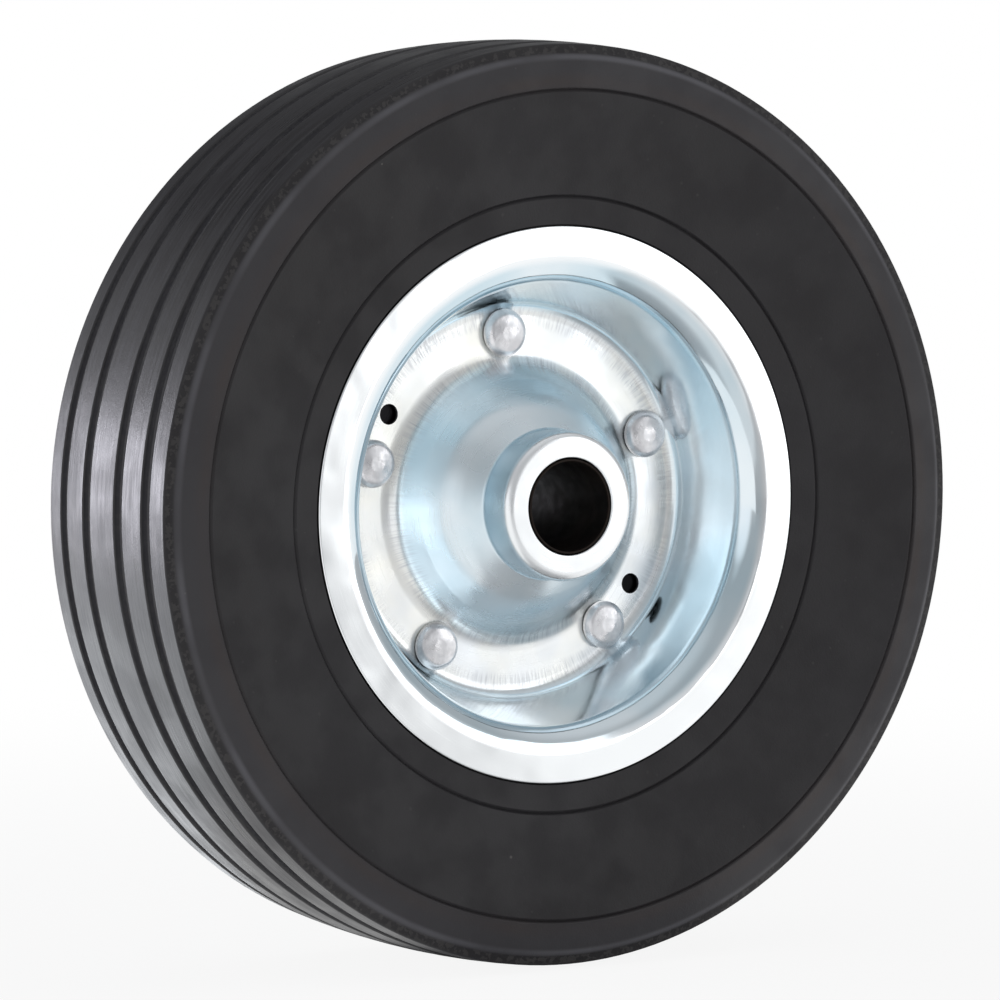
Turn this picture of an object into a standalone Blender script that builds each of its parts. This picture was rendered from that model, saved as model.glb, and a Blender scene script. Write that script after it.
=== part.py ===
"""Jockey wheel: a solid rubber tyre clamped on a rim of two riveted steel pressings.

The two pressings are alike. Each has a flat flange, a tapered barrel, a flat
ring for the rivets, a domed disc and a drawn neck, and a sleeve through both
necks takes the axle.

Every piece is turned about its own Z axis and hangs on one empty, which lays
that axis along world Y. The face that is seen first points to world -Y.
All lengths are in metres.
"""

import math

import bpy

# Tyre
TYRE_DIAMETER = 0.200
TYRE_WIDTH = 0.0553
TREAD_WIDTH = 0.0504
TREAD_CROWN_RADIUS = 0.277
SHOULDER_DROP = 0.0109
SHOULDER_STEP_DEPTH = 0.0018
SHOULDER_STEP_DRAFT = 0.0004
SHOULDER_SLOPE_RUN = 0.0010
SHOULDER_SLOPE_FALL = 0.0011
SHOULDER_ROUND = 0.0015
INNER_GROOVE_OFFSET = 0.0070
INNER_GROOVE_WIDTH = 0.0033
OUTER_GROOVE_OFFSET = 0.0181
OUTER_GROOVE_WIDTH = 0.0032
GROOVE_DEPTH = 0.0016
GROOVE_DRAFT = 0.0003
MOULD_LINE_WIDTH = 0.0010
MOULD_LINE_DEPTH = 0.0006
BEAD_BAND_WIDTH = 0.0063
BEAD_BAND_RISE = 0.0011
BEAD_SET_BACK = 0.0002
TYRE_SEAT_FLAT = 0.0052

# Rim pressings
RIM_DIAMETER = 0.120
RIM_WIDTH = 0.0435
SHEET = 0.0013
FLANGE_WIDTH = 0.0108
FLANGE_ROLL_RADIUS = 0.0065
RING_OUTER_FILLET = 0.0034
RING_INNER_FILLET = 0.0050
RING_SEAT_MARGIN = 0.0009
FLANK_RUN = 0.0040
FLANK_RISE = 0.0057
DOME_BULGE = 0.0011
DOME_RADIUS = 0.0150
HUB_LENGTH = 0.0510
NECK_DIAMETER = 0.0324
NECK_LENGTH = 0.0091
NECK_BASE_FILLET = 0.0010
NECK_END_ROUND = 0.0020

# Axle sleeve
BORE_DIAMETER = 0.0194
SLEEVE_WALL = 0.0005
SLEEVE_CHAMFER = 0.0002

# Rivets, and the two plain holes of each pressing
RIVET_COUNT = 5
RIVET_PITCH_DIAMETER = 0.0732
RIVET_HEAD_DIAMETER = 0.0104
RIVET_HEAD_HEIGHT = 0.0030
RIVET_EDGE_ROUND = 0.0011
RIVET_SHANK_DIAMETER = 0.0050
FIRST_RIVET_ANGLE = math.radians(93.6)
PLAIN_HOLE_DIAMETER = 0.0045
PLAIN_HOLE_ANGLE = math.radians(147.7)

# Clearance between neighbours, and how far a cutter stands out of the sheet
FIT_GAP = 0.0003
CUTTER_REACH = 0.0025

# Facets round each turned piece, and over the dome of a rivet head
TYRE_STEPS = 52
RIM_STEPS = 40
SLEEVE_STEPS = 24
RIVET_STEPS = 12
RIVET_DOME_STEPS = 3
HOLE_STEPS = 12
ARC_STEP = math.radians(32)

MERGE = 0.00001
SHARP_ANGLE = math.radians(32)

# Sizes worked out from the ones above
TYRE_RADIUS = TYRE_DIAMETER / 2
RIM_RADIUS = RIM_DIAMETER / 2
RIVET_PITCH_RADIUS = RIVET_PITCH_DIAMETER / 2
RIVET_HEAD_RADIUS = RIVET_HEAD_DIAMETER / 2
FLANGE_FACE = RIM_WIDTH / 2
HUB_FACE = HUB_LENGTH / 2
RING_FACE = FIT_GAP / 2 + SHEET
SLEEVE_RADIUS = BORE_DIAMETER / 2 + SLEEVE_WALL


def clear_scene():
    """Remove everything that a new file or an earlier run left in the scene."""
    for old in list(bpy.data.objects):
        bpy.data.objects.remove(old, do_unlink=True)


def new_collection(name):
    """Return a new collection under the scene."""
    collection = bpy.data.collections.new(name)
    bpy.context.scene.collection.children.link(collection)
    return collection


def material(name, colour, roughness, metallic):
    """Return a plain Principled material."""
    made = bpy.data.materials.new(name)
    made.use_nodes = True
    shader = made.node_tree.nodes["Principled BSDF"]
    shader.inputs["Base Color"].default_value = (*colour, 1.0)
    shader.inputs["Roughness"].default_value = roughness
    shader.inputs["Metallic"].default_value = metallic
    return made


def direction(start, end):
    """Return the unit direction from one outline point to the next, and its length."""
    dx = end[0] - start[0]
    dz = end[1] - start[1]
    length = math.hypot(dx, dz)
    return dx / length, dz / length, length


def rounded(corners):
    """Return the outline through (radius, height, fillet) corners, its fillets as arcs.

    A fillet is kept within the straight stretches that meet at it, and takes no
    more than half of one that it shares with another fillet.
    """
    points = []
    for index, (x, z, fillet) in enumerate(corners):
        inside = 0 < index < len(corners) - 1
        if not inside or fillet <= 0:
            points.append((x, z))
            continue
        ax, az, before = direction(corners[index - 1], corners[index])
        bx, bz, after = direction(corners[index], corners[index + 1])
        turn = math.atan2(ax * bz - az * bx, ax * bx + az * bz)
        half = math.tan(abs(turn) / 2)
        room_before = before / 2 if corners[index - 1][2] > 0 else before
        room_after = after / 2 if corners[index + 1][2] > 0 else after
        reach = min(fillet * half, room_before, room_after)
        radius = reach / half
        side = math.copysign(1.0, turn)
        start_x = x - ax * reach
        start_z = z - az * reach
        centre_x = start_x - side * az * radius
        centre_z = start_z + side * ax * radius
        first = math.atan2(start_z - centre_z, start_x - centre_x)
        count = max(1, round(abs(turn) / ARC_STEP))
        for step in range(count + 1):
            angle = first + turn * step / count
            points.append((centre_x + radius * math.cos(angle), centre_z + radius * math.sin(angle)))
    apart = [points[0]]
    for point in points[1:]:
        if math.dist(point, apart[-1]) > MERGE:
            apart.append(point)
    return apart


def beside(corners, distance):
    """Return the corners moved to a parallel outline, distance to the right of travel."""
    moved = []
    for index, (x, z, fillet) in enumerate(corners):
        first = index == 0
        last = index == len(corners) - 1
        ax, az, _ = direction(corners[index - (not first)], corners[index + first])
        bx, bz, _ = direction(corners[index - last], corners[index + (not last)])
        across_x = az + bz
        across_z = -ax - bx
        scale = distance / (across_x * az - across_z * ax)
        turn = math.copysign(1.0, ax * bz - az * bx)
        new_fillet = fillet + turn * distance if fillet > 0 else 0.0
        moved.append((x + across_x * scale, z + across_z * scale, new_fillet))
    return moved


def bake(obj):
    """Replace an object's modifiers with their result, shaded smooth between sharp edges."""
    graph = bpy.context.evaluated_depsgraph_get()
    mesh = bpy.data.meshes.new_from_object(obj.evaluated_get(graph))
    mesh.name = obj.name
    mesh.shade_smooth()
    mesh.set_sharp_from_angle(angle=SHARP_ANGLE)
    obj.modifiers.clear()
    obj.data = mesh


def turned(name, outline, steps, finish, collection, mirrored=False, sheet=0.0):
    """Turn an outline of (radius, height) points about Z.

    The outline runs down the outer side. A mirrored one is the upper half of a
    piece and is open at height 0, and one with a sheet thickness is the front
    skin of a pressing, which gets its back behind it.
    """
    mesh = bpy.data.meshes.new(name)
    edges = [(index, index + 1) for index in range(len(outline) - 1)]
    mesh.from_pydata([(x, 0.0, z) for x, z in outline], edges, [])
    mesh.materials.append(finish)
    obj = bpy.data.objects.new(name, mesh)
    collection.objects.link(obj)
    screw = obj.modifiers.new("turn", "SCREW")
    screw.axis = "Z"
    screw.steps = steps
    screw.render_steps = steps
    screw.use_merge_vertices = True
    screw.merge_threshold = MERGE
    if mirrored:
        mirror = obj.modifiers.new("other half", "MIRROR")
        mirror.use_axis = (False, False, True)
        mirror.merge_threshold = MERGE
    if sheet:
        solid = obj.modifiers.new("sheet", "SOLIDIFY")
        solid.thickness = sheet
        solid.offset = -1.0
        solid.use_even_offset = True
    bake(obj)
    return obj


def crown(height):
    """Return the radius of the tread's crowned surface at a height from the middle."""
    return TYRE_RADIUS - height * height / (2 * TREAD_CROWN_RADIUS)


def tread_groove(offset, width):
    """Return a groove's corners, from its outer edge to its inner one."""
    floor = crown(offset) - GROOVE_DEPTH
    outer = offset + width / 2
    inner = offset - width / 2
    return [
        (crown(outer), outer, 0.0),
        (floor, outer - GROOVE_DRAFT, 0.0),
        (floor, inner + GROOVE_DRAFT, 0.0),
        (crown(inner), inner, 0.0),
    ]


def mould_line(start, end, place):
    """Return the corners of a V groove across the stretch from start to end."""
    ux, uz, _ = direction(start, end)
    x, z = place
    half = MOULD_LINE_WIDTH / 2
    return [
        (x - ux * half, z - uz * half, 0.0),
        (x + uz * MOULD_LINE_DEPTH, z - ux * MOULD_LINE_DEPTH, 0.0),
        (x + ux * half, z + uz * half, 0.0),
    ]


def rim_corners():
    """Return the corners of a pressing's front skin, from the neck's hole out to the flange."""
    neck = NECK_DIAMETER / 2
    ring_inner = RIVET_PITCH_RADIUS - RIVET_HEAD_RADIUS - RING_SEAT_MARGIN
    ring_outer = RIVET_PITCH_RADIUS + RIVET_HEAD_RADIUS + RING_SEAT_MARGIN
    crease = ring_inner - FLANK_RUN
    crease_height = RING_FACE + FLANK_RISE
    neck_base = HUB_FACE - NECK_LENGTH
    dome_x = (crease + neck) / 2
    dome_z = (crease_height + neck_base) / 2
    ux, uz, _ = direction((neck, neck_base), (crease, crease_height))
    return [
        (SLEEVE_RADIUS + FIT_GAP, HUB_FACE, 0.0),
        (neck, HUB_FACE, NECK_END_ROUND),
        (neck, neck_base, NECK_BASE_FILLET),
        (dome_x - uz * DOME_BULGE, dome_z + ux * DOME_BULGE, DOME_RADIUS),
        (crease, crease_height, 0.0),
        (ring_inner, RING_FACE, RING_INNER_FILLET),
        (ring_outer, RING_FACE, RING_OUTER_FILLET),
        (RIM_RADIUS - FLANGE_WIDTH, FLANGE_FACE, FLANGE_ROLL_RADIUS),
        (RIM_RADIUS, FLANGE_FACE, 0.0),
    ]


def tyre_outline():
    """Return the upper half of the tyre's section, from its inside round to the tread."""
    seat_foot, seat_roll, seat_edge = beside(rim_corners()[-3:], SHEET + FIT_GAP)
    ux, uz, _ = direction(seat_foot, seat_roll)
    foot_z = TYRE_SEAT_FLAT / 2
    foot_x = seat_foot[0] + ux / uz * (foot_z - seat_foot[1])
    bead_x = RIM_RADIUS + FIT_GAP
    bead_z = FLANGE_FACE - BEAD_SET_BACK
    band = (RIM_RADIUS + BEAD_BAND_WIDTH, bead_z + BEAD_BAND_RISE)
    shoulder = (TYRE_RADIUS - SHOULDER_DROP, TYRE_WIDTH / 2)
    edge_z = TREAD_WIDTH / 2
    step_foot = (crown(edge_z) - SHOULDER_STEP_DEPTH, edge_z + SHOULDER_STEP_DRAFT)
    shoulder_corner = (step_foot[0] - SHOULDER_SLOPE_FALL, step_foot[1] + SHOULDER_SLOPE_RUN)
    return rounded([
        (foot_x, 0.0, 0.0),
        (foot_x, foot_z, 0.0),
        seat_roll,
        (bead_x, seat_edge[1], 0.0),
        (bead_x, bead_z, 0.0),
        *mould_line(band, shoulder, band),
        *mould_line(band, shoulder, shoulder),
        (*shoulder_corner, SHOULDER_ROUND),
        (*step_foot, 0.0),
        (crown(edge_z), edge_z, 0.0),
        *tread_groove(OUTER_GROOVE_OFFSET, OUTER_GROOVE_WIDTH),
        *tread_groove(INNER_GROOVE_OFFSET, INNER_GROOVE_WIDTH),
        (TYRE_RADIUS, 0.0, 0.0),
    ])


def rivet_outline():
    """Return the upper half of a set rivet, from the top of its head down to the middle."""
    under = RING_FACE + FIT_GAP
    top = RING_FACE + RIVET_HEAD_HEIGHT
    waist = under + RIVET_EDGE_ROUND
    shank = RIVET_SHANK_DIAMETER / 2
    dome_rise = top - waist
    dome = (RIVET_HEAD_RADIUS ** 2 + dome_rise ** 2) / (2 * dome_rise)
    sweep = math.asin(RIVET_HEAD_RADIUS / dome)
    points = []
    for step in range(RIVET_DOME_STEPS + 1):
        angle = sweep * step / RIVET_DOME_STEPS
        points.append((dome * math.sin(angle), top - dome + dome * math.cos(angle)))
    edge = rounded([
        (RIVET_HEAD_RADIUS, waist, 0.0),
        (RIVET_HEAD_RADIUS, under, RIVET_EDGE_ROUND),
        (shank, under, 0.0),
    ])
    return points + edge[1:] + [(shank, 0.0)]


def sleeve_outline():
    """Return the upper half of the sleeve, from the middle of its bore over the end."""
    bore = BORE_DIAMETER / 2
    return [
        (bore, 0.0),
        (bore, HUB_FACE - SLEEVE_CHAMFER),
        (bore + SLEEVE_CHAMFER, HUB_FACE),
        (SLEEVE_RADIUS - SLEEVE_CHAMFER, HUB_FACE),
        (SLEEVE_RADIUS, HUB_FACE - SLEEVE_CHAMFER),
        (SLEEVE_RADIUS, 0.0),
    ]


def on_pitch_circle(angle, height=0.0):
    """Return the place on the rivets' pitch circle at an angle from +X."""
    return (RIVET_PITCH_RADIUS * math.cos(angle), RIVET_PITCH_RADIUS * math.sin(angle), height)


def hole_cutter(name, diameter, angle, low, high, axle_line, cutters):
    """Add a cylinder that cuts what lies between two heights on the pitch circle."""
    bpy.ops.mesh.primitive_cylinder_add(
        vertices=HOLE_STEPS,
        radius=diameter / 2,
        depth=high - low,
        location=on_pitch_circle(angle, (low + high) / 2),
    )
    cutter = bpy.context.object
    cutter.name = name
    for old in list(cutter.users_collection):
        old.objects.unlink(cutter)
    cutters.objects.link(cutter)
    cutter.parent = axle_line
    cutter.hide_render = True
    cutter.display_type = "WIRE"


def main():
    clear_scene()
    wheel = new_collection("jockey_wheel")
    cutters = new_collection("cutters")
    rubber = material("tyre_rubber", (0.045, 0.045, 0.048), 0.6, 0.0)
    zinc = material("plated_steel", (0.74, 0.80, 0.84), 0.28, 1.0)
    rivet_steel = material("rivet_steel", (0.66, 0.66, 0.68), 0.34, 1.0)
    nylon = material("black_nylon", (0.02, 0.018, 0.018), 0.45, 0.0)

    axle_line = bpy.data.objects.new("axle_line", None)
    axle_line.rotation_euler = (math.radians(90), 0.0, 0.0)
    wheel.objects.link(axle_line)

    tyre = turned("tyre", tyre_outline(), TYRE_STEPS, rubber, wheel, mirrored=True)
    tyre.parent = axle_line
    sleeve = turned("axle_sleeve", sleeve_outline(), SLEEVE_STEPS, nylon, wheel, mirrored=True)
    sleeve.parent = axle_line

    rivet_angles = [FIRST_RIVET_ANGLE - index * 2 * math.pi / RIVET_COUNT for index in range(RIVET_COUNT)]
    hole_diameter = RIVET_SHANK_DIAMETER + 2 * FIT_GAP
    outside = RING_FACE + CUTTER_REACH
    for index, angle in enumerate(rivet_angles):
        hole_cutter(f"rivet_hole_{index + 1}", hole_diameter, angle, -outside, outside, axle_line, cutters)
    # The rear pressing is turned over about its first rivet, so its plain holes
    # lie on that rivet's other side and each of them shows the other sheet behind.
    rear_angle = 2 * FIRST_RIVET_ANGLE - PLAIN_HOLE_ANGLE
    sheets = (("front", PLAIN_HOLE_ANGLE, 0.0, outside), ("rear", rear_angle, -outside, 0.0))
    for side, first_angle, low, high in sheets:
        for index in range(2):
            name = f"{side}_plain_hole_{index + 1}"
            angle = first_angle + index * math.pi
            hole_cutter(name, PLAIN_HOLE_DIAMETER, angle, low, high, axle_line, cutters)

    front = turned("rim_half_front", rounded(rim_corners()), RIM_STEPS, zinc, wheel, sheet=SHEET)
    rear = bpy.data.objects.new("rim_half_rear", front.data)
    rear.rotation_euler = (math.pi, 0.0, 0.0)
    wheel.objects.link(rear)
    for half in (front, rear):
        half.parent = axle_line
        holes = half.modifiers.new("holes", "BOOLEAN")
        holes.operation = "DIFFERENCE"
        holes.solver = "EXACT"
        holes.operand_type = "COLLECTION"
        holes.collection = cutters

    first = turned("rivet_1", rivet_outline(), RIVET_STEPS, rivet_steel, wheel, mirrored=True)
    rivets = [first]
    for index in range(1, RIVET_COUNT):
        rivet = bpy.data.objects.new(f"rivet_{index + 1}", first.data)
        wheel.objects.link(rivet)
        rivets.append(rivet)
    for rivet, angle in zip(rivets, rivet_angles):
        rivet.location = on_pitch_circle(angle)
        rivet.rotation_euler = (0.0, 0.0, angle)
        rivet.parent = axle_line


main()
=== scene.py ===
"""Jockey wheel: the finished look of a packed model, laid out as an add-on.

Each operator makes one piece, or one group of like pieces, in the place of its
packed solids, and the last one makes the stage. Lengths are in metres. The
wheel turns about the Y axis, and the face that is seen first points to -Y.

A section is a closed outline of (radius, depth) points, where the depth is
measured from the wheel's middle plane towards the front face.
"""

import math

import bmesh
import bpy
from mathutils import Matrix, Vector


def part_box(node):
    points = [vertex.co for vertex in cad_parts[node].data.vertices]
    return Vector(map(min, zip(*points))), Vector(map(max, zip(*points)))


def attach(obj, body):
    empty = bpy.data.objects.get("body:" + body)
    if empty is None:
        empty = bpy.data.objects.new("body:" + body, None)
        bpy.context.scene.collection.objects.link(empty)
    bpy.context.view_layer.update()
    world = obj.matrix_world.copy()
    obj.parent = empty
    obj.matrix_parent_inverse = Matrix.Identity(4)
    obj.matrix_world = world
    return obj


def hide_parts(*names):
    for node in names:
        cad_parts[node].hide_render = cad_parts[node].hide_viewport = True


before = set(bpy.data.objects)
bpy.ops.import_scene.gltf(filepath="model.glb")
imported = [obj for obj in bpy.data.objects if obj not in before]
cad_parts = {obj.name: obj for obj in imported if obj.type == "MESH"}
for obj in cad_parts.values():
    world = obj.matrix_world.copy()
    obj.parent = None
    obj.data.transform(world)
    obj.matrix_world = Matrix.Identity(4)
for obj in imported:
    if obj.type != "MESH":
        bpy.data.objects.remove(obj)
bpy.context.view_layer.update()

bl_info = {
    "name": "Jockey Wheel",
    "version": (1, 0, 0),
    "blender": (4, 5, 0),
    "location": "View3D > Sidebar > Jockey Wheel",
    "description": "Makes the tyre, rim, rivets, sleeve and stage of a solid rubber jockey wheel",
    "category": "Object",
}

# Read from the packed solids
TYRE_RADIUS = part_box("tyre")[1].z
RIM_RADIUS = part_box("rim_half_front")[1].z
HUB_FACE = -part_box("rim_half_front")[0].y
SLEEVE_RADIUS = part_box("axle_sleeve")[1].z
RIVET_NODES = sorted(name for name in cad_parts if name.startswith("rivet_"))
RIVET_CENTRE = (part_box(RIVET_NODES[0])[0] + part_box(RIVET_NODES[0])[1]) / 2

# Fineness of the meshes: steps round the axle, a rivet or a hole, and the arc between two points
TYRE_STEPS = 192
RIM_STEPS = 256
RIVET_STEPS = 64
SLEEVE_STEPS = 128
HOLE_STEPS = 48
ARC_STEP = math.radians(6)

# How far beside an arc a point holds the flat, when two points are one, and when an edge is sharp
HOLD = 0.00025
MERGE = 0.000001
SHARP_ANGLE = math.radians(35)

# The stretches of a rib's crown, the plain holes, a punch's depth in sheets, and the seed
# of the rivets' turns. A set head's flank bends at a share of its radius, and above the
# middle of its height by a share of its edge round.
RIB_PIECES = 4
PLAIN_HOLES = 2
PUNCH_SHEETS = 6
RIVET_SEED = 7
HEAD_FLANK = (0.82, 0.35)

BODY = "root"

# Lamps, each with its azimuth, elevation, distance, size, radiance and tint
SOFT_LAMPS = (
    ("front_right_lamp", 38.5, 13.0, 1.25, (0.44, 0.76), 1.06, (1.0, 1.0, 1.0)),
    ("tread_lamp", 222.0, 1.0, 0.80, (0.42, 0.23), 9.0, (0.91, 0.90, 1.0)),
    ("floor_glow", 212.0, -18.0, 0.31, (0.40, 0.40), 1.5, (0.89, 0.94, 1.0)),
)

# Soft glows and dark corners of the room, each with its azimuth, elevation,
# inner and outer angle and strength
ROOM_GLOWS = (
    (-60.0, -6.0, 18.0, 34.0, 0.55),
    (35.0, 12.0, 10.0, 28.0, 0.20),
    (210.0, 15.0, 6.0, 26.0, 0.50),
    (180.0, 38.0, 15.0, 50.0, -0.36),
)

# Heights at which the room's walls end and its ceiling begins, as the sine of the elevation
ROOM_HEIGHTS = (0.50, 0.90)

# How white the floor is in a mirrored view, as stretches of the distance from the wheel's
# centre in metres, with the levels at their two ends where these are not 0 and 1
FLOOR_CONTACT = (0.05, 0.12, 0.5, 1.0)
FLOOR_NEAR = (0.13, 0.22, 0.06, 0.60)
FLOOR_FAR = (0.68, 0.56)

# Where the mirrored floor turns white to the sides: shares of that distance, from the dark middle
FLOOR_ASIDE = (0.325, 0.40)
FLOOR_MIDDLE = 0.08

WHITE = (1.0, 1.0, 1.0)

# Camera: sensor in millimetres, and the nearest and farthest distance seen in metres
SENSOR_WIDTH = 36.0
CAMERA_CLIP = (0.01, 100.0)

# Patterns by the shader group that draws them, with that group's inputs in their order
PATTERNS = {
    # Patch size, detail and seed
    "clouding": {
        "rubber_bloom": (0.034, 3.0, 1.0),
        "brown_bloom": (0.022, 3.0, 4.0),
        "ledge_highlight_patches": (0.030, 3.0, 13.0),
        "flecks": (0.0011, 3.0, 17.0),
        "film_patches": (0.018, 3.0, 9.0),
        "rubber_gloss": (0.012, 3.0, 6.0),
        "zinc_tint": (0.026, 3.0, 2.0),
        "ring_tint": (0.016, 3.0, 5.0),
        "shade_band_patches": (0.020, 3.0, 7.0),
        "zinc_gloss": (0.011, 3.0, 8.0),
        "zinc_waves": (0.012, 1.0, 3.0),
        "set_marks": (0.0034, 4.0, 11.0),
        "rivet_gloss": (0.0020, 3.0, 12.0),
        "nylon_tint": (0.006, 3.0, 14.0),
        "nylon_gloss": (0.003, 3.0, 15.0),
    },
    # Grain size
    "fine_grain": {
        "rubber_grain": (0.00045,),
        "rubber_skin": (0.0022,),
        "rivet_grain": (0.0007,),
        "nylon_grain": (0.0003,),
    },
    # Cell size, share of a cell that a speck fills, and share of the cells that have one
    "dust_specks": {"specks": (0.0080, 0.07, 0.22), "film": (0.0022, 0.30, 0.20)},
    # Features along one radius of arc, and in one metre across the section
    "fine_lines": {"rib_streaks": (7.0, 900.0), "die_marks": (90.0, 220.0), "turning_lines": (3.0, 5200.0)},
}

# The stretch of the noise that patches use, the detail of the fine patterns, and how much
# more the depth counts than the radius, so that no turned surface runs along one line
NOISE_RANGE = (0.3, 0.7)
FINE_DETAIL = 2.0
DEPTH_WEIGHT = 1.7

# How far each finish's roughness wanders below and above its level
ROUGHNESS_SPREAD = {
    "rubber": (0.05, 0.07),
    "zinc": (0.03, 0.06),
    "rivet": (0.05, 0.10),
    "nylon": (0.06, 0.08),
}

# Depths of the finishes' relief, in metres
RUBBER_RELIEF = 0.00004
ZINC_RELIEF = 0.00007
RIVET_RELIEF = 0.00006
NYLON_RELIEF = 0.00002

# Rubber: widths of the masks and of their fades, in metres
FINE_FADE = 0.0002
RIB_FADE = 0.0003
LINE_MARGIN = 0.0004
LEDGE_FADE = 0.0005
SHOULDER_FADE = 0.0006
BROWN_WIDTH = 0.0030
BROWN_FADE = 0.0014

# Rubber: ranges of its patterns, strengths of its effects, and heights in its relief
BROWN_RANGE = (0.3, 1.0)
LEDGE_RANGE = (0.25, 0.9)
STREAK_RANGE = (0.30, 0.70)
FLECK_RANGE = (0.46, 0.74)
WORN_SHARE = 0.8
CREVICE_SHADE = 0.8
CREVICE_FLECKS = 0.13
GROOVE_FLECKS = 0.08
FILM_SHARE = 0.12
SPECK_SHARE = 0.6
POLISH_SPREAD = 0.05
SKIN_HEIGHT = 1.6
RIB_GRAIN = 0.5
FLECK_HEIGHT = 6.0

# Zinc: fades and insets from the edges of the ring, in metres, for the painted highlight on the ring and the
# bands of painted shade beside it
PLATE_FADE = 0.0010
DOME_FADE = 0.0020
RING_MARGIN = 0.0010
OUTER_SHADE_BAND = (0.0044, 0.0008)
INNER_SHADE_BAND = (0.0022, -0.0010)

# Zinc: places in flange widths from the rim's edge, for the painted highlight on the flange and the polished
# roll, in end rounds from the hub's face, for the painted highlight there, and in sheets from the joint, for
# the painted shade on the sheets' inner faces
BRIGHT_FLANGE = 0.7
ROLL_ZONE = (1.1, 0.5)
BRIGHT_HUB = (1.0, 0.3)
HOLE_SHADE_SHEETS = (0.6, 0.3)

# Zinc: ranges of its patterns, strengths of its effects, steps of roughness and heights in its relief
SHADE_BAND_RANGE = (0.35, 1.0)
SCUFF_RANGE = (0.36, 0.70)
LINE_RANGE = (0.5, 0.8)
RING_HIGHLIGHT_SHARE = 0.9
SCUFF_SHADE_SHARE = 0.75
WORKED_ROUGHNESS = 0.14
ROLL_POLISH = 0.06
LINE_ROUGHNESS = 0.08
LINE_HEIGHT = 0.02
SCUFF_HEIGHT = 0.10

# Rivets and nylon
SET_MARK_SHARE = 0.6
RIVET_GRAIN = 0.4
NYLON_TINT = 0.5
NYLON_END = 0.0004
NYLON_SPECULAR = 0.12


def setting(kind, **fixed):
    """Return a function that declares a property of one kind by its name, default and description."""

    def declare(name, default, description):
        return kind(name=name, default=default, description=description, **fixed)

    return declare


# A length in metres, an offset in metres, a share from 0 to 1, a linear colour and an angle
length = setting(bpy.props.FloatProperty, min=0.0, precision=5, unit="LENGTH", subtype="DISTANCE")
offset = setting(bpy.props.FloatProperty, unit="LENGTH")
share = setting(bpy.props.FloatProperty, min=0.0, max=1.0, subtype="FACTOR")
colour = setting(bpy.props.FloatVectorProperty, min=0.0, max=1.0, size=3, subtype="COLOR")
turn = setting(bpy.props.FloatProperty, unit="ROTATION", subtype="ANGLE")


class TyreSizes(bpy.types.PropertyGroup):
    """The solid rubber tyre's section."""

    radius: length("Tyre radius", TYRE_RADIUS, "From the axle line to the crown of the tread")
    width: length("Tyre width", 0.0553, "Across the two shoulders")
    tread_width: length("Tread width", 0.0504, "Across the ribbed tread")
    crown_radius: length("Crown radius", 0.277, "Radius of the tread's crown across the tyre")
    shoulder_drop: length("Shoulder drop", 0.0109, "From the crown down to the shoulder's mould line")
    step_depth: length("Shoulder step depth", 0.0018, "Wall at the outer side of the last rib")
    step_draft: length("Shoulder step draft", 0.0004, "How far that wall leans out")
    slope_run: length("Shoulder slope run", 0.0010, "Width of the slope below the step")
    slope_fall: length("Shoulder slope fall", 0.0011, "How far the slope falls to the shoulder")
    shoulder_round: length("Shoulder round", 0.0015, "Round between the slope and the shoulder")
    inner_groove: length("Inner groove place", 0.0070, "From the middle plane to each inner groove")
    inner_groove_width: length("Inner groove width", 0.0033, "Width of each inner groove")
    outer_groove: length("Outer groove place", 0.0181, "From the middle plane to each outer groove")
    outer_groove_width: length("Outer groove width", 0.0032, "Width of each outer groove")
    groove_depth: length("Groove depth", 0.0016, "Depth of the tread's grooves")
    groove_draft: length("Groove draft", 0.0003, "How far each wall of a groove leans")
    rib_round: length("Rib round", 0.00045, "Round along the edges of the ribs")
    groove_round: length("Groove round", 0.0005, "Round in the bottom of the grooves")
    mould_line_width: length("Mould line width", 0.0010, "Width of the fine mould lines")
    mould_line_depth: length("Mould line depth", 0.0005, "Depth of the fine mould lines")
    band_width: length("Bead band width", 0.0063, "From the rim out to the inner mould line")
    band_rise: length("Bead band rise", 0.0011, "How far the bead band rises to the inner mould line")
    set_back: length("Bead set-back", 0.0002, "How far the rubber lies behind the flange face")
    seat_flat: length("Seat flat", 0.0052, "Flat in the middle of the tyre's inside")


class RimSizes(bpy.types.PropertyGroup):
    """The section of one rim pressing, and its plain holes."""

    radius: length("Rim radius", RIM_RADIUS, "From the axle line to the edge of the flange")
    width: length("Rim width", 0.0435, "Across the two flange faces")
    sheet: length("Sheet", 0.0013, "Thickness of the steel")
    flange_width: length("Flange width", 0.0108, "Flat flange with its rolled edge")
    roll_radius: length("Roll radius", 0.0065, "Radius of the rolled edge between flange and barrel")
    outer_fillet: length("Outer ring fillet", 0.0034, "Between the barrel and the rivet ring")
    inner_fillet: length("Inner ring fillet", 0.0050, "Between the rivet ring and the dome's flank")
    seat_margin: length("Seat margin", 0.0009, "Room left beside the rivet heads on the ring")
    flank_run: length("Flank run", 0.0040, "How far the dome's flank runs in")
    flank_rise: length("Flank rise", 0.0057, "How far the dome's flank rises")
    crease_round: length("Crease round", 0.0040, "Round where the flank meets the dome")
    dome_bulge: length("Dome bulge", 0.0011, "How far the dome stands out of a plain cone")
    dome_radius: length("Dome radius", 0.0150, "Radius of the dome's bulge")
    hub_face: length("Hub face", HUB_FACE, "From the middle plane to the end of the neck")
    neck_radius: length("Neck radius", 0.0162, "Radius of the drawn neck")
    neck_length: length("Neck length", 0.0091, "From the dome to the end of the neck")
    base_fillet: length("Neck base fillet", 0.0010, "Between the dome and the neck")
    end_round: length("Neck end round", 0.0020, "Round at the end of the neck")
    edge_round: length("Cut edge round", 0.00030, "Round on the cut edges of the sheet")
    hole_radius: length("Plain hole radius", 0.00225, "Radius of the two plain holes")
    hole_angle: turn("Plain hole angle", math.radians(147.7), "Place of the first plain hole round the axle")


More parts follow.
